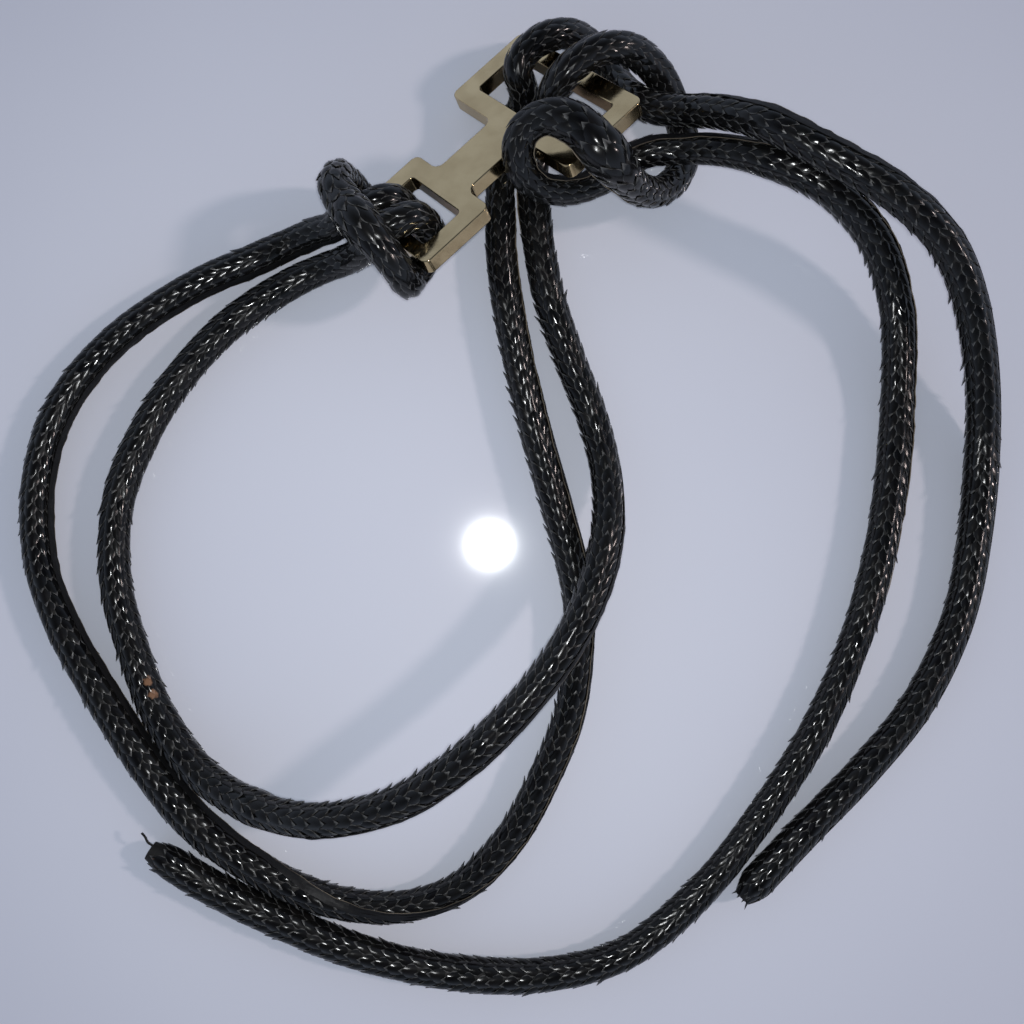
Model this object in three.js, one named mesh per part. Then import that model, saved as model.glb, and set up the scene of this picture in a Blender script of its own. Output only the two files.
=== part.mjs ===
// A belt of rolled python leather cord, laid down in a loose ring: one long cord is doubled, hitched to
// the small ring of a cast buckle plate, led round the waist as two strands, and knotted to the plate's
// wide ring, from where its two free ends lie loose.
// Millimetres, +Z up. The origin is on the surface it lies on, under the middle of the whole belt.
import * as THREE from "three";

// The leather cord
const CORD_DIAMETER = 10.8; // where it lies free
const KNOT_DIAMETER = 10.2; // where the hitch and the knot squeeze it
const CORD_SIDES = 10;
const FREE_STEP = 2 * CORD_DIAMETER; // length of one straight facet where the cord lies free
const KNOT_STEP = 4.8; // and where it turns tightly
const SEAM_GAP = 0.3; // between two stretches that meet face to face

// The buckle plate, along its bar (x), across it (y) and through it (z)
const PLATE_THICKNESS = 5.4;
const PLATE_EDGE = 0.8; // the softened edge
const SMALL_RING_LONG = 27.5;
const SMALL_RING_WIDE = 38.5;
const SMALL_RING_END = 5; // the bar that carries the hitch
const SMALL_RING_CROSS = 7; // the side that meets the plate's bar
const SMALL_RING_ARM = 6.5;
const BAR_LONG = 24;
const BAR_WIDE = 16;
const WIDE_RING_LONG = 32.5;
const WIDE_RING_WIDE = 59;
const WIDE_RING_CROSS = 7;
const WIDE_RING_END = 6.5;
const WIDE_RING_ARM = 6.5;
const CORNER = 2.5; // the radius of the plate's outer corners
const FILLET = 3; // where the bar meets the rings
const WINDOW_CORNER = 1.5;
const ARC_SEGMENTS = 4;

// How the plate lies on the cords: the middle of its small ring's end, and its turn
const PLATE_PLACE = [-38, 85, 25.6];
const PLATE_ROLL = THREE.MathUtils.degToRad(-30);
const PLATE_PITCH = THREE.MathUtils.degToRad(4);
const PLATE_HEADING = THREE.MathUtils.degToRad(43.5);

// The cord's route from the outer strand's free end to the inner strand's, chosen by hand.
// Each point is x, y and the height of the cord's underside above the surface it lies on.
const TAIL_OUTER = [
  [77.5, -129.5, 0], [98, -108, 0], [118.5, -87, 0], [136, -65.5, 0], [149.5, -38, 0], [155.5, -10.5, 0],
  [157.5, 19.5, 2], [153.5, 42, 10.5], [145.5, 64.5, 20], [134.5, 80.5, 28], [117.5, 93.5, 33.5],
  [96, 105.5, 35], [80, 115, 33],
];
const KNOT_ARCH = [
  [72.5, 119.5, 28.5], [64.5, 124, 22], [56, 127, 15.5], [46.5, 130, 11.5], [39.5, 136.5, 6.5],
  [35.5, 143.5, 3], [31.5, 150.5, 2], [26, 155, 4], [19.5, 154.5, 10.5], [13, 152, 14],
  [7.5, 148.5, 14.5], [4, 144.5, 14.5], [3, 140, 14], [4.5, 137.5, 11], [5, 134.5, 6.5], [3.5, 132.5, 2],
  [0.5, 128.5, 0.5], [-1.5, 121, 0], [-2.5, 111.5, 0],
];
const WAIST_OUTER = [
  [-2.5, 100.5, 0], [-2.5, 87, 0], [-0.5, 70, 0], [4, 46.5, 0], [10, 22.5, 0], [16.5, -0.5, 0],
  [23, -27.5, 0], [23.5, -47.5, 0], [20, -70, 0], [12, -89.5, 0], [0.5, -110, 0], [-16, -126, 0],
  [-35.5, -132.5, 0], [-59, -130.5, 0], [-83, -120, 0], [-103.5, -105, 0], [-120.5, -85, 0],
  [-136, -61.5, 0], [-148, -40.5, 0], [-155.5, -20.5, 0], [-157.5, 2.5, 0], [-153, 26, 0],
  [-143.5, 43, 0.5], [-125.5, 60.5, 2], [-102, 75, 3], [-84.5, 82.5, 3],
];
const HITCH = [
  [-73, 88.5, 1.5], [-63.5, 91, 6], [-57, 91.5, 10.5], [-51, 94, 17.5], [-44, 95, 20.5], [-37.5, 97, 20],
  [-33, 95.5, 14], [-32.5, 94, 6], [-38, 96, 2], [-45.5, 101.5, 0], [-49, 103.5, 4], [-51.5, 105.5, 9.5],
  [-53, 105, 16.5], [-53.5, 103, 24], [-53.5, 97.5, 30], [-50, 91, 32.5], [-45, 84.5, 36],
  [-38.5, 77, 34.5], [-34.5, 72.5, 30], [-32, 70, 21.5], [-30.5, 73.5, 15], [-27.5, 78.5, 13.5],
  [-25, 83.5, 14], [-25.5, 88, 20], [-29.5, 89.5, 26], [-36, 87, 27], [-40.5, 85.5, 25.5], [-45, 82, 19],
  [-53, 81, 8], [-61.5, 79.5, 3],
];
const WAIST_INNER = [
  [-74.5, 74, 0.5], [-92.5, 62, 0], [-109.5, 44, 0], [-121, 26, 0], [-130, 3, 0], [-131, -24, 0],
  [-125, -47, 0], [-115.5, -70, 0.5], [-100.5, -88.5, 3], [-79.5, -97.5, 11.5], [-58.5, -98.5, 20],
  [-33, -91, 26], [-12, -76.5, 28], [7, -58, 24], [22.5, -36, 18], [31.5, -11, 11], [32.5, 9, 4.5],
  [28.5, 29, 1], [21, 49, 0], [14, 69.5, 0], [10.5, 87, 0], [9, 100.5, 0],
];
const KNOT_LOOP = [
  [8.5, 111.5, 0], [10, 120.5, 1.5], [12.5, 127, 4.5], [14, 129.5, 11.5], [14, 131, 19],
  [17.5, 135, 23.5], [24, 140.5, 24.5], [32.5, 144, 23], [40.5, 145, 17.5], [49, 142, 9.5], [55, 136, 2],
  [58.5, 127.5, 0], [59.5, 118, 0.5], [55.5, 109, 3.5], [48, 102.5, 10.5], [40, 100.5, 21.5],
  [33, 102.5, 32.5], [27, 107, 37], [21, 113, 37.5], [13.5, 116.5, 36.5], [8, 116.5, 34], [4, 114, 31],
  [2.5, 109.5, 27.5], [4.5, 105, 21.5], [10.5, 102.5, 15], [20.5, 103.5, 10], [29.5, 107, 8.5],
  [37.5, 112.5, 9.5], [46.5, 115.5, 11.5], [56, 115.5, 13], [65, 114, 17], [74, 111, 21],
];
const TAIL_INNER = [
  [81.5, 108, 23], [99, 99.5, 24], [117.5, 85.5, 15], [127.5, 65.5, 6.5], [130, 36.5, 0.5], [128, 9.5, 0],
  [123.5, -17.5, 0], [116, -43.5, 0], [102.5, -74, 0], [83, -104, 0], [64, -127.5, 0], [38.5, -148, 0],
  [10.5, -155, 0], [-19, -154, 0], [-49, -147.5, 0], [-74.5, -137.5, 0], [-98.5, -126, 0],
  [-118.5, -114, 0],
];

// The stretches of the one cord, in order: how thick each is and how finely it is drawn
const free = { diameter: CORD_DIAMETER, step: FREE_STEP };
const tight = { diameter: KNOT_DIAMETER, step: KNOT_STEP };
const STRETCHES = [
  { name: "tail_cord_outer", route: TAIL_OUTER, ...free },
  { name: "knot_cord_arch", route: KNOT_ARCH, ...tight },
  { name: "waist_cord_outer", route: WAIST_OUTER, ...free },
  { name: "hitch_cord", route: HITCH, ...tight },
  { name: "waist_cord_inner", route: WAIST_INNER, ...free },
  { name: "knot_cord_loop", route: KNOT_LOOP, ...tight },
  { name: "tail_cord_inner", route: TAIL_INNER, ...free },
];

const leather = new THREE.MeshStandardMaterial({ color: 0x0b0b0c, roughness: 0.28, metalness: 0 });
const castMetal = new THREE.MeshStandardMaterial({ color: 0xb79a5c, roughness: 0.3, metalness: 1 });

// A piece of a longer curve, from one share of its length to another. Nothing dips into the surface.
class Stretch extends THREE.Curve {
  constructor(whole, from, to, lowest) {
    super();
    this.whole = whole;
    this.from = from;
    this.to = to;
    this.lowest = lowest;
  }

  getPoint(t, target = new THREE.Vector3()) {
    this.whole.getPointAt(THREE.MathUtils.lerp(this.from, this.to, t), target);
    target.z = Math.max(target.z, this.lowest);
    return target;
  }
}

function wholeCord() {
  const samplesPerSpan = 40;
  const points = STRETCHES.flatMap(({ route, diameter }) =>
    route.map(([x, y, lift]) => new THREE.Vector3(x, y, lift + diameter / 2)),
  );
  const curve = new THREE.CatmullRomCurve3(points, false, "centripetal");
  curve.arcLengthDivisions = samplesPerSpan * (points.length - 1);
  const lengths = curve.getLengths();
  // Two stretches meet halfway between the last point of one and the first of the next.
  const borders = [0];
  let passed = 0;
  for (const { route } of STRETCHES) {
    passed += route.length;
    const sample = Math.min(samplesPerSpan * (passed - 0.5), curve.arcLengthDivisions);
    borders.push(lengths[sample]);
  }
  return { curve, borders, length: curve.getLength() };
}

function cordStretch(cord, index) {
  const { name, diameter, step } = STRETCHES[index];
  const last = STRETCHES.length - 1;
  const from = cord.borders[index] + (index === 0 ? 0 : SEAM_GAP / 2);
  const to = cord.borders[index + 1] - (index === last ? 0 : SEAM_GAP / 2);
  const path = new Stretch(cord.curve, from / cord.length, to / cord.length, diameter / 2);
  const section = new THREE.Shape();
  for (let side = 0; side < CORD_SIDES; side += 1) {
    const angle = (2 * Math.PI * side) / CORD_SIDES;
    const x = (diameter / 2) * Math.cos(angle);
    const y = (diameter / 2) * Math.sin(angle);
    if (side === 0) section.moveTo(x, y);
    else section.lineTo(x, y);
  }
  section.closePath();
  const geometry = new THREE.ExtrudeGeometry(section, {
    steps: Math.ceil((to - from) / step),
    extrudePath: path,
    bevelEnabled: false,
  });
  const mesh = new THREE.Mesh(geometry, leather);
  mesh.name = name;
  return mesh;
}

// Draws a closed outline through [x, y, radius] corners, each rounded by its radius.
function roundedOutline(path, corners) {
  corners.forEach(([x, y, radius], index) => {
    const corner = new THREE.Vector2(x, y);
    const before = corners.at(index - 1);
    const after = corners[(index + 1) % corners.length];
    const start = new THREE.Vector2(before[0], before[1]).sub(corner).setLength(radius).add(corner);
    const end = new THREE.Vector2(after[0], after[1]).sub(corner).setLength(radius).add(corner);
    if (index === 0) path.moveTo(start.x, start.y);
    else path.lineTo(start.x, start.y);
    path.quadraticCurveTo(corner.x, corner.y, end.x, end.y);
  });
  path.closePath();
  return path;
}

function ringWindow(from, to, halfWide) {
  const corners = [
    [from, -halfWide, WINDOW_CORNER],
    [to, -halfWide, WINDOW_CORNER],
    [to, halfWide, WINDOW_CORNER],
    [from, halfWide, WINDOW_CORNER],
  ];
  return roundedOutline(new THREE.Path(), corners);
}

function bucklePlate() {
  const small = SMALL_RING_WIDE / 2;
  const wide = WIDE_RING_WIDE / 2;
  const bar = BAR_WIDE / 2;
  const barStart = SMALL_RING_LONG;
  const barEnd = barStart + BAR_LONG;
  const plateEnd = barEnd + WIDE_RING_LONG;
  const outline = roundedOutline(new THREE.Shape(), [
    [0, -small, CORNER],
    [barStart, -small, CORNER],
    [barStart, -bar, FILLET],
    [barEnd, -bar, FILLET],
    [barEnd, -wide, CORNER],
    [plateEnd, -wide, CORNER],
    [plateEnd, wide, CORNER],
    [barEnd, wide, CORNER],
    [barEnd, bar, FILLET],
    [barStart, bar, FILLET],
    [barStart, small, CORNER],
    [0, small, CORNER],
  ]);
  outline.holes = [
    ringWindow(SMALL_RING_END, barStart - SMALL_RING_CROSS, small - SMALL_RING_ARM),
    ringWindow(barEnd + WIDE_RING_CROSS, plateEnd - WIDE_RING_END, wide - WIDE_RING_ARM),
  ];
  const geometry = new THREE.ExtrudeGeometry(outline, {
    depth: PLATE_THICKNESS - 2 * PLATE_EDGE,
    curveSegments: ARC_SEGMENTS,
    bevelThickness: PLATE_EDGE,
    bevelSize: PLATE_EDGE,
    bevelOffset: -PLATE_EDGE,
    bevelSegments: 2,
  });
  geometry.translate(0, 0, PLATE_EDGE - PLATE_THICKNESS); // its top face is at z = 0
  const mesh = new THREE.Mesh(geometry, castMetal);
  mesh.name = "buckle";
  mesh.rotation.set(PLATE_ROLL, PLATE_PITCH, PLATE_HEADING, "ZYX");
  mesh.position.set(...PLATE_PLACE);
  return mesh;
}

const group = new THREE.Group();
const cord = wholeCord();
group.add(bucklePlate());
STRETCHES.forEach((stretch, index) => group.add(cordStretch(cord, index)));

export default group;
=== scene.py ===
"""A belt of rolled black python leather cord, hitched and knotted to a gold-tone buckle plate."""
import math

import bmesh
import bpy
import numpy as np
from mathutils import Matrix, Vector


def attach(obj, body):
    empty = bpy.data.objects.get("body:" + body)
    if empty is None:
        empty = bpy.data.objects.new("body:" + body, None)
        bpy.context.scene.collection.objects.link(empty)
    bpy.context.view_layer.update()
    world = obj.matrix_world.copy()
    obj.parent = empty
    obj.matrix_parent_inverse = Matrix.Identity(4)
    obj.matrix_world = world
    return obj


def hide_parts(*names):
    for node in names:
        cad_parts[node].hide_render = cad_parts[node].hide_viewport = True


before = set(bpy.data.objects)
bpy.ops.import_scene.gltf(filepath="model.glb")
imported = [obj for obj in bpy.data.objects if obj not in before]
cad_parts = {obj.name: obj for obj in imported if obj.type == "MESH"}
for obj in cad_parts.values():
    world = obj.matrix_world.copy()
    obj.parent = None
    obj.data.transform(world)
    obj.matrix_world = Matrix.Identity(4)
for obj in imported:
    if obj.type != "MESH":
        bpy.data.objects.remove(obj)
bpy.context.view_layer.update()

MM = 0.001

# The cord's route, from the outer strand's free end to the inner strand's: x, y and the height of the
# cord's underside above the surface it lies on, in millimetres, as the solids have it.
TAIL_OUTER = [
    (77.5, -129.5, 0), (98, -108, 0), (118.5, -87, 0), (136, -65.5, 0), (149.5, -38, 0), (155.5, -10.5, 0),
    (157.5, 19.5, 2), (153.5, 42, 10.5), (145.5, 64.5, 20), (134.5, 80.5, 28), (117.5, 93.5, 33.5),
    (96, 105.5, 35), (80, 115, 33),
]
KNOT_ARCH = [
    (72.5, 119.5, 28.5), (64.5, 124, 22), (56, 127, 15.5), (46.5, 130, 11.5), (39.5, 136.5, 6.5),
    (35.5, 143.5, 3), (31.5, 150.5, 2), (26, 155, 4), (19.5, 154.5, 10.5), (13, 152, 14),
    (7.5, 148.5, 14.5), (4, 144.5, 14.5), (3, 140, 14), (4.5, 137.5, 11), (5, 134.5, 6.5), (3.5, 132.5, 2),
    (0.5, 128.5, 0.5), (-1.5, 121, 0), (-2.5, 111.5, 0),
]
WAIST_OUTER = [
    (-2.5, 100.5, 0), (-2.5, 87, 0), (-0.5, 70, 0), (4, 46.5, 0), (10, 22.5, 0), (16.5, -0.5, 0),
    (23, -27.5, 0), (23.5, -47.5, 0), (20, -70, 0), (12, -89.5, 0), (0.5, -110, 0), (-16, -126, 0),
    (-35.5, -132.5, 0), (-59, -130.5, 0), (-83, -120, 0), (-103.5, -105, 0), (-120.5, -85, 0),
    (-136, -61.5, 0), (-148, -40.5, 0), (-155.5, -20.5, 0), (-157.5, 2.5, 0), (-153, 26, 0),
    (-143.5, 43, 0.5), (-125.5, 60.5, 2), (-102, 75, 3), (-84.5, 82.5, 3),
]
HITCH = [
    (-73, 88.5, 1.5), (-63.5, 91, 6), (-57, 91.5, 10.5), (-51, 94, 17.5), (-44, 95, 20.5), (-37.5, 97, 20),
    (-33, 95.5, 14), (-32.5, 94, 6), (-38, 96, 2), (-45.5, 101.5, 0), (-49, 103.5, 4), (-51.5, 105.5, 9.5),
    (-53, 105, 16.5), (-53.5, 103, 24), (-53.5, 97.5, 30), (-50, 91, 32.5), (-45, 84.5, 36),
    (-38.5, 77, 34.5), (-34.5, 72.5, 30), (-32, 70, 21.5), (-30.5, 73.5, 15), (-27.5, 78.5, 13.5),
    (-25, 83.5, 14), (-25.5, 88, 20), (-29.5, 89.5, 26), (-36, 87, 27), (-40.5, 85.5, 25.5), (-45, 82, 19),
    (-53, 81, 8), (-61.5, 79.5, 3),
]
WAIST_INNER = [
    (-74.5, 74, 0.5), (-92.5, 62, 0), (-109.5, 44, 0), (-121, 26, 0), (-130, 3, 0), (-131, -24, 0),
    (-125, -47, 0), (-115.5, -70, 0.5), (-100.5, -88.5, 3), (-79.5, -97.5, 11.5), (-58.5, -98.5, 20),
    (-33, -91, 26), (-12, -76.5, 28), (7, -58, 24), (22.5, -36, 18), (31.5, -11, 11), (32.5, 9, 4.5),
    (28.5, 29, 1), (21, 49, 0), (14, 69.5, 0), (10.5, 87, 0), (9, 100.5, 0),
]
KNOT_LOOP = [
    (8.5, 111.5, 0), (10, 120.5, 1.5), (12.5, 127, 4.5), (14, 129.5, 11.5), (14, 131, 19),
    (17.5, 135, 23.5), (24, 140.5, 24.5), (32.5, 144, 23), (40.5, 145, 17.5), (49, 142, 9.5), (55, 136, 2),
    (58.5, 127.5, 0), (59.5, 118, 0.5), (55.5, 109, 3.5), (48, 102.5, 10.5), (40, 100.5, 21.5),
    (33, 102.5, 32.5), (27, 107, 37), (21, 113, 37.5), (13.5, 116.5, 36.5), (8, 116.5, 34), (4, 114, 31),
    (2.5, 109.5, 27.5), (4.5, 105, 21.5), (10.5, 102.5, 15), (20.5, 103.5, 10), (29.5, 107, 8.5),
    (37.5, 112.5, 9.5), (46.5, 115.5, 11.5), (56, 115.5, 13), (65, 114, 17), (74, 111, 21),
]
TAIL_INNER = [
    (81.5, 108, 23), (99, 99.5, 24), (117.5, 85.5, 15), (127.5, 65.5, 6.5), (130, 36.5, 0.5), (128, 9.5, 0),
    (123.5, -17.5, 0), (116, -43.5, 0), (102.5, -74, 0), (83, -104, 0), (64, -127.5, 0), (38.5, -148, 0),
    (10.5, -155, 0), (-19, -154, 0), (-49, -147.5, 0), (-74.5, -137.5, 0), (-98.5, -126, 0),
    (-118.5, -114, 0),
]
FREE_DIAMETER = 10.8
SQUEEZED_DIAMETER = 10.2
STRETCHES = [
    ("tail_cord_outer", TAIL_OUTER, FREE_DIAMETER),
    ("knot_cord_arch", KNOT_ARCH, SQUEEZED_DIAMETER),
    ("waist_cord_outer", WAIST_OUTER, FREE_DIAMETER),
    ("hitch_cord", HITCH, SQUEEZED_DIAMETER),
    ("waist_cord_inner", WAIST_INNER, FREE_DIAMETER),
    ("knot_cord_loop", KNOT_LOOP, SQUEEZED_DIAMETER),
    ("tail_cord_inner", TAIL_INNER, FREE_DIAMETER),
]

# The camera looks down from arm's length; the pale floor mirrors its lamp straight below it.
CAMERA_PLACE = (-6, -12.4, 348)
CAMERA_LENS = 36.07
CAMERA_SENSOR = 36
CAMERA_TILT = 0.92  # degrees towards the picture's top
CAMERA_SHIFT = (0.0215, 0.0161)  # the picture's middle is a little off the lens's axis
WINDOW_WAY = (0.794, 0.083, 0.602)  # from the belt to the light that throws its shadows


def new_object(name, mesh, *materials):
    piece = bpy.data.objects.new(name, mesh)
    bpy.context.scene.collection.objects.link(piece)
    for material in materials:
        mesh.materials.append(material)
    return piece


def new_camera():
    data = bpy.data.cameras.new("camera")
    data.lens = CAMERA_LENS
    data.sensor_width = CAMERA_SENSOR
    data.clip_start = 0.01
    data.shift_x, data.shift_y = CAMERA_SHIFT
    camera = bpy.data.objects.new("camera", data)
    camera.location = Vector(CAMERA_PLACE) * MM
    camera.rotation_euler.x = math.radians(CAMERA_TILT)
    bpy.context.scene.collection.objects.link(camera)
    bpy.context.scene.camera = camera


# The line of the whole cord

SAMPLE = 0.5  # millimetres between the samples of the line


def centripetal_line(points, per_span=40):
    """A smooth line through the points, and the sample at which each point lies."""
    ends = np.vstack([2 * points[0] - points[1], points, 2 * points[-1] - points[-2]])
    share = np.linspace(0, 1, per_span, endpoint=False)[:, None]
    spans = []
    for before, start, end, after in zip(ends, ends[1:], ends[2:], ends[3:]):
        lead = np.linalg.norm(start - before) ** 0.5
        span = np.linalg.norm(end - start) ** 0.5
        tail = np.linalg.norm(after - end) ** 0.5
        leave = ((start - before) / lead - (end - before) / (lead + span) + (end - start) / span) * span
        arrive = ((end - start) / span - (after - start) / (span + tail) + (after - end) / tail) * span
        square = -3 * start + 3 * end - 2 * leave - arrive
        cube = 2 * start - 2 * end + leave + arrive
        spans.append(start + share * leave + share**2 * square + share**3 * cube)
    return np.vstack(spans + [points[-1:]]), per_span


def along_line(line, places, values):
    """Values of the line at the given lengths along it, column by column."""
    return np.stack([np.interp(places, line["length"], column) for column in values.T], -1)


def turned_up(tangent):
    up = np.array([0.0, 0.0, 1.0]) - tangent * tangent[2]
    return up / np.linalg.norm(up)


def whole_line():
    """The whole cord's centre line, sampled evenly, with a frame that starts out upright."""
    points = np.array([(x, y, lift + diameter / 2) for _, route, diameter in STRETCHES for x, y, lift in route])
    drawn, per_span = centripetal_line(points)
    thick = np.concatenate([[diameter] * len(route) for _, route, diameter in STRETCHES])
    span_at = np.linspace(0, len(points) - 1, len(drawn))
    drawn_thick = np.interp(span_at, np.arange(len(points)), thick)
    drawn[:, 2] = np.maximum(drawn[:, 2], drawn_thick / 2)
    length = np.concatenate([[0], np.cumsum(np.linalg.norm(np.diff(drawn, axis=0), axis=1))])
    borders, passed = [0.0], 0
    for _, route, _ in STRETCHES:
        passed += len(route)
        borders.append(length[min(int(per_span * (passed - 0.5)), len(length) - 1)])
    even = np.arange(0, length[-1], SAMPLE)
    line = {"length": even, "borders": borders, "total": length[-1]}
    line["centre"] = np.stack([np.interp(even, length, drawn[:, axis]) for axis in range(3)], -1)
    line["thick"] = np.interp(even, length, drawn_thick)
    tangent = np.gradient(line["centre"], axis=0)
    line["tangent"] = tangent / np.linalg.norm(tangent, axis=1)[:, None]
    return line


def framed(line):
    """Adds the side and crown directions: carried along without twist, then eased back to upright."""
    tangent = line["tangent"]
    crown = np.empty_like(tangent)
    crown[0] = turned_up(tangent[0])
    for i in range(1, len(crown)):
        carried = crown[i - 1] - tangent[i] * (crown[i - 1] @ tangent[i])
        crown[i] = carried / np.linalg.norm(carried)
    side = np.cross(tangent, crown)
    # how far the carried frame has drifted from upright, where the cord lies flat
    keys, drifts = [], []
    for index, (name, _, _) in enumerate(STRETCHES):
        if not name.startswith(("tail", "waist")):
            continue
        for share in (0.15, 0.5, 0.85):
            at = line["borders"][index] * (1 - share) + line["borders"][index + 1] * share
            sample = int(at / SAMPLE)
            up = turned_up(tangent[sample])
            keys.append(at)
            drifts.append(math.atan2(up @ side[sample], up @ crown[sample]))
    twist = np.interp(line["length"], keys, np.unwrap(drifts))
    line["crown"] = crown * np.cos(twist)[:, None] + side * np.sin(twist)[:, None]
    line["side"] = np.cross(tangent, line["crown"])
    return line


# How full the cord is: it narrows at its cut ends and swells where the knot's last turn crosses over.
SWELLS = [  # x, y, z of the place, how much fuller or slimmer, and over what length
    ((28.5, 106, 40), 2.0, 10),
    ((16.5, 115, 42), 0.9, 7),
    ((-47, 87, 41), 1.3, 10),
    ((-78.5, -98, 5), 0.5, 4),
    ((-108, 71, 9), -0.35, 50),
    ((-112, -96, 5), 0.9, 55),
    ((-98, -90, 9), 0.5, 40),
    ((-60, -142, 5), 0.5, 60),
]
OUTER_END = (7, 2.5)  # length and depth of the narrowing at the outer free end
INNER_END = (9, 1.8)
LARGE_SCALES = ((28.5, 106, 40), 0.3, 14)  # place, how much larger, and over what length


def fullness(line):
    """Millimetres that the cord's radius gains or loses along its length."""
    rng = np.random.default_rng(7)
    knots = np.arange(0, line["total"] + 24, 24)
    gain = np.interp(line["length"], knots, rng.normal(0, 0.13, len(knots)))
    for place, more, reach in SWELLS:
        nearest = np.argmin(np.linalg.norm(line["centre"] - place, axis=1))
        gain += more * np.exp(-(((line["length"] - line["length"][nearest]) / reach) ** 2))
    for (reach, depth), from_end in ((OUTER_END, line["length"]), (INNER_END, line["total"] - line["length"])):
        gain -= depth * np.clip(1 - from_end / reach, 0, 1) ** 1.5
    return gain


def scale_size(line):
    """How large the scales are along the cord."""
    place, more, reach = LARGE_SCALES
    nearest = np.argmin(np.linalg.norm(line["centre"] - place, axis=1))
    return 1 + more * np.exp(-(((line["length"] - line["length"][nearest]) / reach) ** 2))


def laid_on(line, along, angle, radius):
    """The points at given lengths along the cord, angles from its crown and distances from its centre."""
    centre = along_line(line, along, line["centre"])
    crown = along_line(line, along, line["crown"])
    side = along_line(line, along, line["side"])
    tangent = along_line(line, along, line["tangent"])
    beyond = np.clip(along, 0, line["total"] - SAMPLE) - along
    centre -= tangent * beyond[..., None]
    turned = crown * np.cos(angle)[..., None] + side * np.sin(angle)[..., None]
    points = centre + turned * radius[..., None]
    points[..., 2] = np.maximum(points[..., 2], FLOOR_CLEAR)
    return points * MM


# The scales

FLOOR_CLEAR = 0.12
COLUMNS = 8
PITCH = 4.75
SCALE_LONG = 7.2
SCALE_WIDE = 5.0
SPIKE_LONG = 0.7  # how far the middle of a scale's tip reaches past its round edge
SCALE_THICK = 0.14
SCALE_STATIONS = (0, 0.25, 0.48, 0.7, 0.87, 1)  # shares of its length at which a scale bends
SKIN_DEPTH = 0.55  # from the scales' roots to the cord's nominal surface
SKIN_JOIN = (-45.5, 101.5, 5)  # under the hitch, where the scales part towards both free ends


def one_scale():
    """A tongue of skin, root at x = 0 and round edge at x = SCALE_LONG, domed, with a pointed tip."""
    bm = bmesh.new()
    bmesh.ops.create_grid(bm, x_segments=5, y_segments=4, size=0.5)
    along_layer = bm.verts.layers.float.new("along")
    across_layer = bm.verts.layers.float.new("across")
    for vert in bm.verts:
        along = SCALE_STATIONS[round((vert.co.x + 0.5) * 5)]
        across = 2 * vert.co.y
        vert[along_layer] = along
        vert[across_layer] = across
        dome = (1 - across**2) * max(0.0, 1 - ((along - 0.62) / 0.4) ** 2)
        rounding = math.sqrt(1 - (max(0.0, along - 0.5) / 0.56) ** 2)
        spike = SPIKE_LONG * (along == 1) * (across == 0)
        vert.co.x = SCALE_LONG * along * (1 - 0.2 * across**2 * along) + spike
        vert.co.y = SCALE_WIDE / 2 * across * rounding
        vert.co.z = -0.25 + 0.52 * along + 0.5 * dome - 0.2 * across**2
    bmesh.ops.solidify(bm, geom=bm.faces[:], thickness=SCALE_THICK)
    bmesh.ops.recalc_face_normals(bm, faces=bm.faces)
    for edge in bm.edges:
        edge.smooth = edge.calc_face_angle(0) < math.radians(50)
    for face in bm.faces:
        face.smooth = True
    mesh = bpy.data.meshes.new("scale")
    bm.to_mesh(mesh)
    bm.free()
    return mesh


def repeated(mesh, count):
    """One mesh of many copies, made by an Array; the copies are laid out afterwards."""
    piece = new_object("repeat", mesh)
    array = piece.modifiers.new("copies", "ARRAY")
    array.count = count
    array.use_relative_offset = False
    array.use_constant_offset = True
    array.constant_offset_displace = (0, 0, 1)
    graph = bpy.context.evaluated_depsgraph_get()
    copies = bpy.data.meshes.new_from_object(piece.evaluated_get(graph))
    bpy.data.objects.remove(piece)
    return copies


def read_points(mesh):
    points = np.empty(len(mesh.vertices) * 3)
    mesh.vertices.foreach_get("co", points)
    return points.reshape(-1, 3)


def write_points(mesh, points):
    mesh.vertices.foreach_set("co", points.reshape(-1))
    mesh.update()


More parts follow.
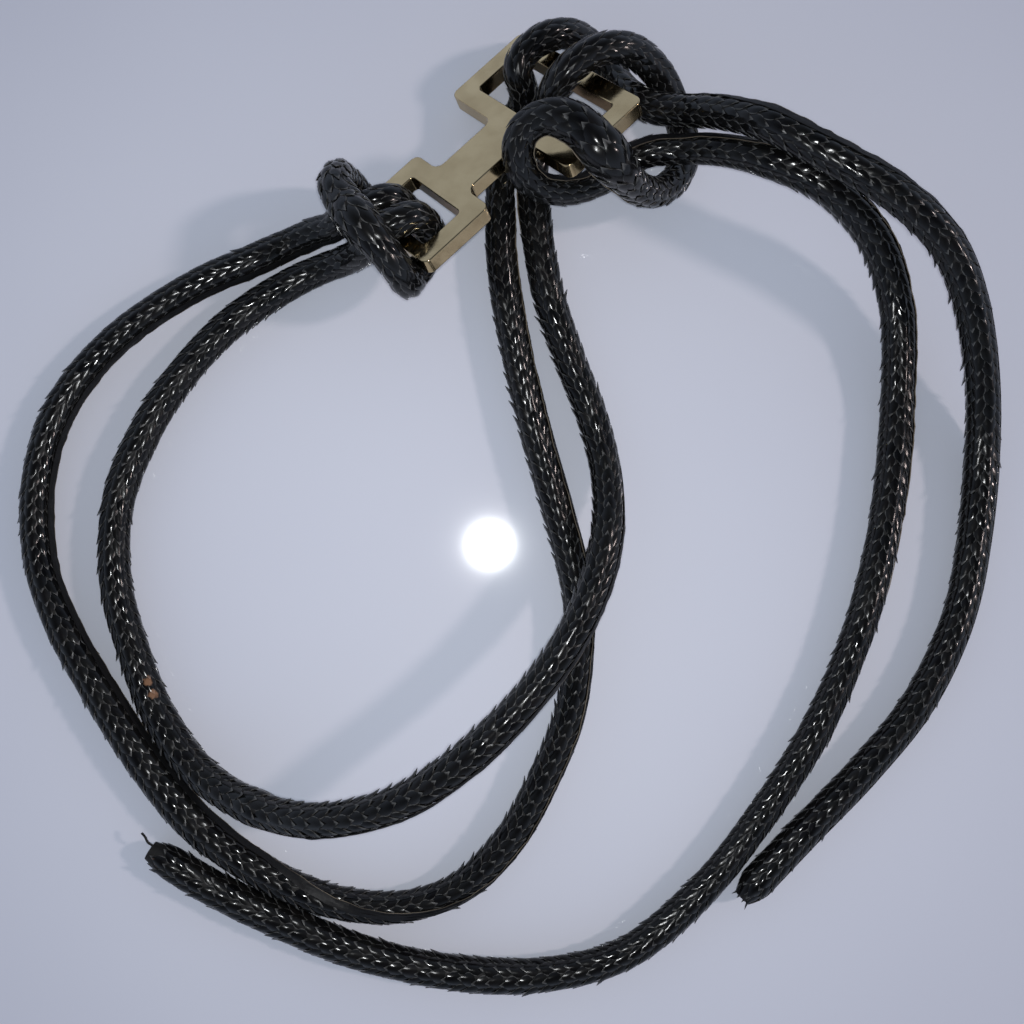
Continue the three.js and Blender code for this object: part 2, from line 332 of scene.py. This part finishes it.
def scaled_skin(line, start, end, seed):
    """The rows of overlapping scales from one length along the cord to another."""
    template = one_scale()
    shape = read_points(template)
    along_share, across_share = [
        np.array([item.value for item in template.attributes[name].data]) for name in ("along", "across")
    ]
    rows = np.arange(int(line["row"][-1]))
    row, column = [grid.ravel() for grid in np.meshgrid(rows, np.arange(COLUMNS), indexing="ij")]
    root = np.interp(row + 0.5 * (column % 2), line["row"], line["length"])
    middle_of_scale = root + np.where(root < line["middle"], -0.5, 0.5) * SCALE_LONG
    within = (start <= middle_of_scale) & (middle_of_scale < end)
    within &= (root > SCALE_LONG - 0.6) & (root < line["total"] - SCALE_LONG + 0.6)
    root, column = root[within], column[within]
    count = len(root)
    rng = np.random.default_rng(seed)
    root += rng.normal(0, 0.12, count)
    toward = np.where(root < line["middle"], -1.0, 1.0)
    size = np.interp(root, line["length"], line["size"]) + rng.normal(0, 0.03, count)
    lift = np.clip(rng.gamma(3.0, 0.2, count), 0.15, 1.3)
    squeezed = np.interp(root, line["length"], line["thick"]) < FREE_DIAMETER - 0.1
    slim = np.interp(root, line["length"], line["gain"]) < -0.2
    lift *= np.where(squeezed, 0.5, np.where(slim, 0.4, 1.0))
    roll = column * 2 * math.pi / COLUMNS + rng.normal(0, 0.03, count)
    off_seam = np.abs((roll - seam_angle(line, root) + math.pi) % (2 * math.pi) - math.pi)
    lift *= np.interp(off_seam, (0.3, 0.7), (0.1, 1))
    lean = rng.normal(0, 0.03, count)

    copies = repeated(template, count)
    skin_radius = line["thick"] / 2 - SKIN_DEPTH + line["gain"]
    x, y, z = shape.T
    along = root[:, None] + toward[:, None] * x * size[:, None]
    radius = np.interp(along, line["length"], skin_radius)
    fuller = radius / (FREE_DIAMETER / 2 - SKIN_DEPTH)
    around = (y[None] * fuller * size[:, None] + lean[:, None] * x) / radius
    angle = roll[:, None] - toward[:, None] * around
    curl = np.clip((along_share - 0.7) / 0.3, 0, 1) ** 1.5 * (1 - np.abs(across_share)) ** 1.5
    height = z[None] * fuller + lift[:, None] * curl[None]
    write_points(copies, laid_on(line, along, angle, radius + height).reshape(-1, 3))
    tone = copies.attributes.new("tone", "FLOAT", "POINT")
    tone.data.foreach_set("value", np.repeat(rng.random(count), len(shape)).astype(np.float32))
    return copies


def tube_blank(sides, steps, profile=None):
    """A tube of unit length and radius along x, drawn out of one ring by a single spin."""
    bm = bmesh.new()
    bmesh.ops.create_circle(bm, segments=sides, radius=1, cap_ends=False)
    bmesh.ops.rotate(bm, verts=bm.verts, cent=(0, 0, 0), matrix=Matrix.Rotation(math.pi / 2, 3, "Y"))
    ring = bm.edges[:]
    bmesh.ops.spin(bm, geom=ring, cent=(0, 0, 0), axis=(1, 0, 0), dvec=(1 / steps, 0, 0), angle=0, steps=steps)
    bmesh.ops.holes_fill(bm, edges=bm.edges, sides=sides)
    bmesh.ops.recalc_face_normals(bm, faces=bm.faces)
    for face in bm.faces:
        face.smooth = len(face.verts) == 4
    mesh = bpy.data.meshes.new("tube")
    bm.to_mesh(mesh)
    bm.free()
    return mesh


def core(line, start, end):
    """The rolled leather under the scales."""
    steps = max(2, int((end - start) / 2.5))
    mesh = tube_blank(14, steps)
    shape = read_points(mesh)
    along = start + (end - start) * shape[:, 0]
    angle = np.arctan2(shape[:, 1], shape[:, 2])
    radius = np.interp(along, line["length"], line["thick"] / 2 - SKIN_DEPTH + line["gain"]) - 0.05
    write_points(mesh, laid_on(line, along, angle, radius))
    return mesh


# The seam, where the skin's edges overlap along the cord: three thin lips, the outermost cut raw
SEAM_TURNS = [  # stretch, share of its length, and degrees from the crown towards the side
    (0, 0, 88), (0, 0.55, 84), (0, 0.8, 70), (0, 0.97, 25), (1, 0.3, 60), (1, 0.7, 150), (1, 1, 230),
    (2, 0.02, 290), (2, 0.4, 298), (2, 0.475, 360), (2, 0.54, 434), (2, 1, 448), (3, 0.5, 500),
    (4, 0, 500), (4, 0.3, 480), (4, 0.5, 445), (4, 0.75, 440), (4, 0.9, 520), (4, 1, 640),
    (6, 0, 640), (6, 0.25, 635), (6, 0.5, 580), (6, 1, 580),
]
SEAM_LIPS = [(-0.9, 0.1), (-0.05, 0.2), (0.8, 0.3)]  # how far round each lies and how high its rim stands
LIP_WIDE = 1.2
LIP_THICK = 0.26


def lip_blank(steps):
    """A flat strip of unit length along x, drawn out of a rectangle by a single spin."""
    bm = bmesh.new()
    bmesh.ops.create_grid(bm, x_segments=3, y_segments=1, size=0.5)
    bmesh.ops.rotate(bm, verts=bm.verts, cent=(0, 0, 0), matrix=Matrix.Rotation(math.pi / 2, 3, "Y"))
    bmesh.ops.rotate(bm, verts=bm.verts, cent=(0, 0, 0), matrix=Matrix.Rotation(math.pi / 2, 3, "X"))
    face = bm.faces[:]
    bmesh.ops.spin(bm, geom=face, cent=(0, 0, 0), axis=(1, 0, 0), dvec=(1 / steps, 0, 0), angle=0, steps=steps)
    bmesh.ops.recalc_face_normals(bm, faces=bm.faces)
    mesh = bpy.data.meshes.new("lip")
    bm.to_mesh(mesh)
    bm.free()
    return mesh


def seam_angle(line, along):
    borders = line["borders"]
    places = [borders[index] * (1 - share) + borders[index + 1] * share for index, share, _ in SEAM_TURNS]
    return np.interp(along, places, [math.radians(turn) for _, _, turn in SEAM_TURNS])


def lip(line, start, end, seed, order):
    """One edge of the skin, standing a little off the cord and wavering along it."""
    offset, rise = SEAM_LIPS[order]
    mesh = lip_blank(max(2, int((end - start) / 1.6)))
    shape = read_points(mesh)
    along = start + (end - start) * shape[:, 0]
    rng = np.random.default_rng(seed)
    marks = np.arange(0, line["total"] + 2.4, 2.4)
    waver = np.interp(along, marks, rng.normal(0, 0.11, len(marks)))
    flutter = np.interp(along, marks, rng.normal(0, 0.14, len(marks)))
    radius = np.interp(along, line["length"], line["thick"] / 2 + line["gain"])
    outer = shape[:, 1] + 0.5
    around = offset + waver + LIP_WIDE * shape[:, 1]
    height = rise * outer**2 + flutter * outer + LIP_THICK * (shape[:, 2] + 0.5) - 0.15
    angle = seam_angle(line, along) + around / radius
    write_points(mesh, laid_on(line, along, angle, radius + height))
    raw = mesh.attributes.new("raw", "FLOAT", "POINT")
    raw.data.foreach_set("value", (outer > 0.95).astype(np.float32) * (order == len(SEAM_LIPS) - 1))
    return mesh


# Finishes

def socket(group, name, kind, direction, value=None):
    item = group.interface.new_socket(name, in_out=direction, socket_type=kind)
    if value is not None:
        item.default_value = value
    return item


def new_group(name, inputs, outputs):
    group = bpy.data.node_groups.new(name, "ShaderNodeTree")
    for label, kind, value in inputs:
        socket(group, label, kind, "INPUT", value)
    for label, kind in outputs:
        socket(group, label, kind, "OUTPUT")
    return group, group.nodes.new("NodeGroupInput"), group.nodes.new("NodeGroupOutput")


def add(tree, kind, links=None, **values):
    """A node with its settings, and what feeds its inputs."""
    node = tree.nodes.new(kind)
    for key, value in values.items():
        setattr(node, key, value)
    for key, source in (links or {}).items():
        target = node.inputs[key]
        if isinstance(source, bpy.types.NodeSocket):
            tree.links.new(source, target)
        else:
            target.default_value = source
    return node


def ramp(tree, source, low, high, low_value=0.0, high_value=1.0):
    node = add(tree, "ShaderNodeMapRange", {
        "Value": source,
        "From Min": low,
        "From Max": high,
        "To Min": low_value,
        "To Max": high_value,
    })
    return node.outputs["Result"]


def maths(tree, operation, first, second=0.0):
    node = add(tree, "ShaderNodeMath", {0: first, 1: second}, operation=operation)
    return node.outputs[0]


def mixed(tree, share, first, second):
    node = add(tree, "ShaderNodeMix", {0: share, 6: first, 7: second}, data_type="RGBA")
    return node.outputs[2]


def grain_group():
    """Fine creases and pores of worn leather: a height and a mottling between 0 and 1."""
    group, given, result = new_group(
        "leather grain",
        [("Size", "NodeSocketFloat", 900.0)],
        [("Height", "NodeSocketFloat"), ("Mottle", "NodeSocketFloat")],
    )
    place = add(group, "ShaderNodeTexCoord").outputs["Object"]
    fine = add(group, "ShaderNodeTexNoise", {"Vector": place, "Scale": given.outputs["Size"], "Detail": 4.0})
    size = maths(group, "MULTIPLY", given.outputs["Size"], 0.16)
    broad = add(group, "ShaderNodeTexNoise", {"Vector": place, "Scale": size, "Detail": 2.0})
    group.links.new(fine.outputs["Fac"], result.inputs["Height"])
    group.links.new(ramp(group, broad.outputs["Fac"], 0.35, 0.65), result.inputs["Mottle"])
    return group


def rubbed_spot_group():
    """A worn place on the cord: 1 at its centre, 0 past its reach, broken up at its rim."""
    group, given, result = new_group(
        "rubbed spot",
        [("Centre", "NodeSocketVector", (0, 0, 0)), ("Reach", "NodeSocketFloat", 0.005)],
        [("Mask", "NodeSocketFloat")],
    )
    place = add(group, "ShaderNodeTexCoord").outputs["Object"]
    away = add(group, "ShaderNodeVectorMath", {0: place, 1: given.outputs["Centre"]}, operation="DISTANCE")
    near = maths(group, "SUBTRACT", 1.0, maths(group, "DIVIDE", away.outputs["Value"], given.outputs["Reach"]))
    noise = add(group, "ShaderNodeTexNoise", {"Vector": place, "Scale": 700.0, "Detail": 3.0})
    broken = maths(group, "ADD", near, maths(group, "MULTIPLY", noise.outputs["Fac"], 1.1))
    group.links.new(ramp(group, broken, 0.75, 1.05), result.inputs["Mask"])
    return group


def new_material(name):
    material = bpy.data.materials.new(name)
    material.use_nodes = True
    tree = material.node_tree
    return material, tree, tree.nodes["Principled BSDF"]


def placed_group(tree, group, **values):
    node = add(tree, "ShaderNodeGroup", node_tree=group)
    for key, value in values.items():
        node.inputs[key].default_value = value
    return node


WORN_SPOTS = [  # where the black is rubbed through to tan: x, y, z and reach, in millimetres
    ((-118, -57, 10.5), 2.4),
    ((-116.5, -61, 10.5), 2.4),
    ((161, 28, 9), 2.8),
    ((-116.5, -116, 6), 4.5),
    ((-28.5, 79, 34), 5.0),
    ((26, 133, 25), 2.2),
]


def scale_leather(grain, spot):
    """Glossy black scales with thin dry grey edges."""
    material, tree, surface = new_material("python scales")
    along = add(tree, "ShaderNodeAttribute", attribute_name="along").outputs["Fac"]
    across = add(tree, "ShaderNodeAttribute", attribute_name="across").outputs["Fac"]
    tone = add(tree, "ShaderNodeAttribute", attribute_name="tone").outputs["Fac"]
    texture = placed_group(tree, grain, Size=1100.0)
    side = maths(tree, "ABSOLUTE", across)
    rim = maths(tree, "MAXIMUM", ramp(tree, along, 0.9, 0.98), ramp(tree, side, 0.84, 0.96))
    rim = maths(tree, "MULTIPLY", rim, ramp(tree, along, 0.3, 0.5))
    black = mixed(tree, tone, (0.0022, 0.0022, 0.0026, 1), (0.0055, 0.005, 0.005, 1))
    black = mixed(tree, maths(tree, "MULTIPLY", texture.outputs["Mottle"], 0.5), black, (0.007, 0.0075, 0.007, 1))
    colour = mixed(tree, maths(tree, "MULTIPLY", rim, 0.8), black, (0.09, 0.09, 0.088, 1))
    for place, reach in WORN_SPOTS:
        worn = placed_group(tree, spot, Centre=Vector(place) * MM, Reach=reach * MM)
        colour = mixed(tree, maths(tree, "MULTIPLY", worn.outputs["Mask"], 0.7), colour, (0.26, 0.14, 0.08, 1))
    tree.links.new(colour, surface.inputs["Base Color"])
    rough = maths(tree, "ADD", ramp(tree, tone, 0, 1, 0.12, 0.24), maths(tree, "MULTIPLY", rim, 0.25))
    tree.links.new(rough, surface.inputs["Roughness"])
    bump = add(tree, "ShaderNodeBump", {"Height": texture.outputs["Height"], "Strength": 0.07, "Distance": 0.0002})
    tree.links.new(bump.outputs["Normal"], surface.inputs["Normal"])
    surface.inputs["Specular IOR Level"].default_value = 0.25
    return material


def groove_leather(grain):
    """The dull leather between the scales and at the cut ends."""
    material, tree, surface = new_material("leather between scales")
    texture = placed_group(tree, grain, Size=700.0)
    colour = mixed(tree, texture.outputs["Mottle"], (0.004, 0.004, 0.004, 1), (0.012, 0.011, 0.010, 1))
    tree.links.new(colour, surface.inputs["Base Color"])
    surface.inputs["Roughness"].default_value = 0.65
    surface.inputs["Specular IOR Level"].default_value = 0.25
    bump = add(tree, "ShaderNodeBump", {"Height": texture.outputs["Height"], "Strength": 0.4, "Distance": 0.0003})
    tree.links.new(bump.outputs["Normal"], surface.inputs["Normal"])
    return material


def raw_edge_leather(grain):
    """The seam's lips: black, with tan fibres only along the outermost cut edge."""
    material, tree, surface = new_material("raw skin edge")
    raw = add(tree, "ShaderNodeAttribute", attribute_name="raw").outputs["Fac"]
    texture = placed_group(tree, grain, Size=500.0)
    tan = maths(tree, "MULTIPLY", ramp(tree, raw, 0.45, 0.95), ramp(tree, texture.outputs["Mottle"], 0, 1, 0.35, 0.9))
    colour = mixed(tree, tan, (0.007, 0.007, 0.0075, 1), (0.22, 0.18, 0.13, 1))
    tree.links.new(colour, surface.inputs["Base Color"])
    surface.inputs["Roughness"].default_value = 0.5
    surface.inputs["Specular IOR Level"].default_value = 0.2
    bump = add(tree, "ShaderNodeBump", {"Height": texture.outputs["Height"], "Strength": 0.5, "Distance": 0.0003})
    tree.links.new(bump.outputs["Normal"], surface.inputs["Normal"])
    return material


def gold_metal():
    """Polished pale gold plating with fine handling scratches."""
    material, tree, surface = new_material("gold-tone plating")
    place = add(tree, "ShaderNodeTexCoord").outputs["Object"]
    stretched = add(tree, "ShaderNodeMapping", {"Vector": place, "Scale": (60.0, 1400.0, 500.0)})
    stretched.inputs["Rotation"].default_value = (0, 0, math.radians(-43.5))
    hair = add(tree, "ShaderNodeTexNoise", {"Vector": stretched.outputs["Vector"], "Scale": 1.0, "Detail": 5.0})
    smudge = add(tree, "ShaderNodeTexNoise", {"Vector": place, "Scale": 120.0, "Detail": 3.0})
    clouded = ramp(tree, smudge.outputs["Fac"], 0.35, 0.7)
    colour = mixed(tree, clouded, (0.50, 0.385, 0.215, 1), (0.42, 0.315, 0.17, 1))
    tree.links.new(colour, surface.inputs["Base Color"])
    surface.inputs["Metallic"].default_value = 1.0
    rough = maths(tree, "ADD", ramp(tree, clouded, 0, 1, 0.1, 0.18), ramp(tree, hair.outputs["Fac"], 0.5, 0.75, 0, 0.08))
    tree.links.new(rough, surface.inputs["Roughness"])
    bump = add(tree, "ShaderNodeBump", {"Height": hair.outputs["Fac"], "Strength": 0.05, "Distance": 0.0001})
    tree.links.new(bump.outputs["Normal"], surface.inputs["Normal"])
    return material


def glazed_floor():
    material, tree, surface = new_material("pale glossy floor")
    place = add(tree, "ShaderNodeTexCoord").outputs["Object"]
    noise = add(tree, "ShaderNodeTexNoise", {"Vector": place, "Scale": 6.0, "Detail": 2.0})
    colour = mixed(tree, noise.outputs["Fac"], (0.60, 0.62, 0.70, 1), (0.66, 0.68, 0.75, 1))
    tree.links.new(colour, surface.inputs["Base Color"])
    surface.inputs["Roughness"].default_value = 0.07
    surface.inputs["Specular IOR Level"].default_value = 0.5
    return material


# The buckle plate, as its solid has it

PLATE_PLACE = (-38, 85, 25.6)
PLATE_TURN = (-30, 4, 43.5)  # roll, pitch and heading, in degrees
PLATE_THICK = 5.4
SMALL_RING = (0, 5, 20.5, 27.5)  # its outer end, window and inner end, along the plate
WIDE_RING = (51.5, 58.5, 77.5, 84)
SMALL_HALF = (12.75, 19.25)  # half the width of its window and of its outside
WIDE_HALF = (23, 29.5)
BAR_HALF = 8
OUTER_CORNER = 2.6
FILLET = 3
WINDOW_CORNER = 1.4
SOFT_EDGE = 0.85


def inside_plate(x, y):
    y = abs(y)
    small = SMALL_RING[0] < x < SMALL_RING[3] and y < SMALL_HALF[1]
    small_window = SMALL_RING[1] < x < SMALL_RING[2] and y < SMALL_HALF[0]
    wide = WIDE_RING[0] < x < WIDE_RING[3] and y < WIDE_HALF[1]
    wide_window = WIDE_RING[1] < x < WIDE_RING[2] and y < WIDE_HALF[0]
    bar = SMALL_RING[3] < x < WIDE_RING[0] and y < BAR_HALF
    return (small and not small_window) or (wide and not wide_window) or bar


def corner_radius(x, y):
    y = abs(y)
    if y == BAR_HALF:
        return FILLET
    if y in (SMALL_HALF[0], WIDE_HALF[0]):
        return WINDOW_CORNER
    return OUTER_CORNER


def buckle_plate(material):
    """Two open rings joined by a bar: a gridded blank, cut out, drawn down, and its edges softened."""
    columns = [*SMALL_RING, *WIDE_RING]
    halves = [BAR_HALF, *SMALL_HALF, *WIDE_HALF]
    rows = sorted([-half for half in halves] + halves)
    bm = bmesh.new()
    bmesh.ops.create_grid(bm, x_segments=len(columns) - 1, y_segments=len(rows) - 1, size=0.5)
    for vert in bm.verts:
        vert.co.x = columns[round((vert.co.x + 0.5) * (len(columns) - 1))]
        vert.co.y = rows[round((vert.co.y + 0.5) * (len(rows) - 1))]
    outside = [face for face in bm.faces if not inside_plate(*face.calc_center_median().xy)]
    bmesh.ops.delete(bm, geom=outside, context="FACES")
    drawn = bmesh.ops.extrude_face_region(bm, geom=bm.faces[:])
    bottom = [item for item in drawn["geom"] if isinstance(item, bmesh.types.BMVert)]
    bmesh.ops.translate(bm, verts=bottom, vec=(0, 0, -PLATE_THICK))
    bmesh.ops.recalc_face_normals(bm, faces=bm.faces)
    for radius in (OUTER_CORNER, FILLET, WINDOW_CORNER):
        corners = []
        for edge in bm.edges:
            top, foot = edge.verts
            upright = abs(top.co.z - foot.co.z) > 1
            if upright and edge.calc_face_angle(0) > 1 and corner_radius(*top.co.xy) == radius:
                corners.append(edge)
        bmesh.ops.bevel(
            bm, geom=corners, offset=radius, affect="EDGES", segments=6, profile=0.5,
            clamp_overlap=True, material=-1,
        )
    flat = [edge for edge in bm.edges if edge.calc_face_angle(1) < 0.01]
    bmesh.ops.dissolve_limit(bm, angle_limit=0.01, verts=bm.verts, edges=flat)
    rims = [
        edge for edge in bm.edges
        if edge.calc_face_angle(0) > 1 and abs(edge.verts[0].co.z - edge.verts[1].co.z) < 0.01
    ]
    bmesh.ops.bevel(
        bm, geom=rims, offset=SOFT_EDGE, affect="EDGES", segments=4, profile=0.5,
        clamp_overlap=True, material=-1,
    )
    roll, pitch, heading = [math.radians(angle) for angle in PLATE_TURN]
    turn = Matrix.Rotation(heading, 4, "Z") @ Matrix.Rotation(pitch, 4, "Y") @ Matrix.Rotation(roll, 4, "X")
    place = Matrix.Translation(Vector(PLATE_PLACE) * MM) @ turn @ Matrix.Scale(MM, 4)
    bmesh.ops.transform(bm, matrix=place, verts=bm.verts)
    for face in bm.faces:
        face.smooth = True
    mesh = bpy.data.meshes.new("buckle_plate")
    bm.to_mesh(mesh)
    bm.free()
    piece = new_object("buckle_plate", mesh, material)
    weighted = piece.modifiers.new("flat faces stay flat", "WEIGHTED_NORMAL")
    weighted.keep_sharp = True
    return piece


# The cord's pieces

def joined(name, parts):
    """One piece of several meshes, each with its own material."""
    bm = bmesh.new()
    mesh = bpy.data.meshes.new(name)
    for index, (part, material) in enumerate(parts):
        mesh.materials.append(material)
        before = len(bm.faces)
        bm.from_mesh(part)
        bm.faces.ensure_lookup_table()
        for face in bm.faces[before:]:
            face.material_index = index
    bm.to_mesh(mesh)
    bm.free()
    piece = bpy.data.objects.new(name, mesh)
    bpy.context.scene.collection.objects.link(piece)
    return piece


LOOSE_THREAD = [(-117, -111.5, 8.5), (-118.5, -110, 9.2), (-119.5, -108.5, 8.8), (-120.8, -107.5, 8)]
THREAD_RADIUS = 0.42


def loose_thread():
    """The end of a sewing thread that sticks out of the inner free end."""
    points = np.array(LOOSE_THREAD, float)
    drawn, _ = centripetal_line(points, 8)
    mesh = tube_blank(6, len(drawn) - 1)
    shape = read_points(mesh)
    ring = np.rint(shape[:, 0] * (len(drawn) - 1)).astype(int)
    tangent = np.gradient(drawn, axis=0)
    tangent /= np.linalg.norm(tangent, axis=1)[:, None]
    crown = np.array([turned_up(way) for way in tangent])
    side = np.cross(tangent, crown)
    spread = crown[ring] * shape[:, 2:3] + side[ring] * shape[:, 1:2]
    write_points(mesh, (drawn[ring] + spread * THREAD_RADIUS) * MM)
    return mesh


def cord_piece(line, index, scales, groove, raw_edge):
    node, _, _ = STRETCHES[index]
    start, end = line["borders"][index], line["borders"][index + 1]
    parts = [
        (scaled_skin(line, start, end, 100 + index), scales),
        (core(line, start, end), groove),
    ]
    for order in range(len(SEAM_LIPS)):
        parts.append((lip(line, start, end, 200 + 10 * order + index, order), raw_edge))
    if node == "tail_cord_inner":
        parts.append((loose_thread(), groove))
    piece = joined(node.replace("_cord_", "_strand_").replace("hitch_cord", "hitch_strand"), parts)
    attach(piece, "root")
    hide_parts(node)
    return piece


def declare_free(line, index):
    """Samples the line that a free stretch follows every 3 mm, turned round for the outer tail; nothing uses the
    result.
    """
    start, end = line["borders"][index], line["borders"][index + 1]
    places = np.linspace(start, end, int((end - start) / 3) + 1)
    path = along_line(line, places, line["centre"]) * MM
    if index == 0:
        path = path[::-1]


def lamp(name, place, size, watts, colour, aim=(0, 0, 0), shape="DISK"):
    data = bpy.data.lights.new(name, "AREA")
    data.shape = shape
    data.size = size
    data.energy = watts
    data.color = colour
    light = bpy.data.objects.new(name, data)
    light.location = place
    light.rotation_euler = (Vector(aim) - Vector(place)).to_track_quat("-Z", "Y").to_euler()
    bpy.context.scene.collection.objects.link(light)


def studio():
    bm = bmesh.new()
    bmesh.ops.create_grid(bm, x_segments=1, y_segments=1, size=3)
    mesh = bpy.data.meshes.new("floor")
    bm.to_mesh(mesh)
    bm.free()
    floor = new_object("floor", mesh, glazed_floor())
    bpy.context.scene.view_settings.view_transform = "Standard"
    world = bpy.data.worlds.new("room")
    bpy.context.scene.world = world
    world.use_nodes = True
    tree = world.node_tree
    way = add(tree, "ShaderNodeTexCoord").outputs["Generated"]
    height = add(tree, "ShaderNodeSeparateXYZ", {"Vector": way}).outputs["Z"]
    walls = mixed(tree, ramp(tree, height, 0.1, 0.95), (0.62, 0.72, 0.92, 1), (0.030, 0.036, 0.050, 1))
    tree.links.new(walls, tree.nodes["Background"].inputs["Color"])
    camera_foot = Vector(CAMERA_PLACE) * MM
    lamp("lamp by the lens", camera_foot + Vector((0, 0, 0.006)), 0.02, 0.7, (0.97, 0.99, 1.0), (-0.016, -0.024, 0))
    lamp("window from the right", Vector(WINDOW_WAY) * 2.5, 0.22, 16.5, (1.0, 0.84, 0.80))


def main():
    new_camera()
    line = framed(whole_line())
    line["gain"] = fullness(line)
    line["size"] = scale_size(line)
    line["row"] = np.cumsum(SAMPLE / (PITCH * line["size"]))
    away = np.linalg.norm(line["centre"] - SKIN_JOIN, axis=1)
    line["middle"] = line["length"][np.argmin(away)]
    grain = grain_group()
    spot = rubbed_spot_group()
    scales = scale_leather(grain, spot)
    groove = groove_leather(grain)
    raw_edge = raw_edge_leather(grain)
    for index, (node, _, _) in enumerate(STRETCHES):
        piece = cord_piece(line, index, scales, groove, raw_edge)
        if node.startswith("tail"):
            declare_free(line, index)
        elif node.startswith("waist"):
            declare_free(line, index)
    plate = buckle_plate(gold_metal())
    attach(plate, "root")
    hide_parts("buckle")
    studio()


main()
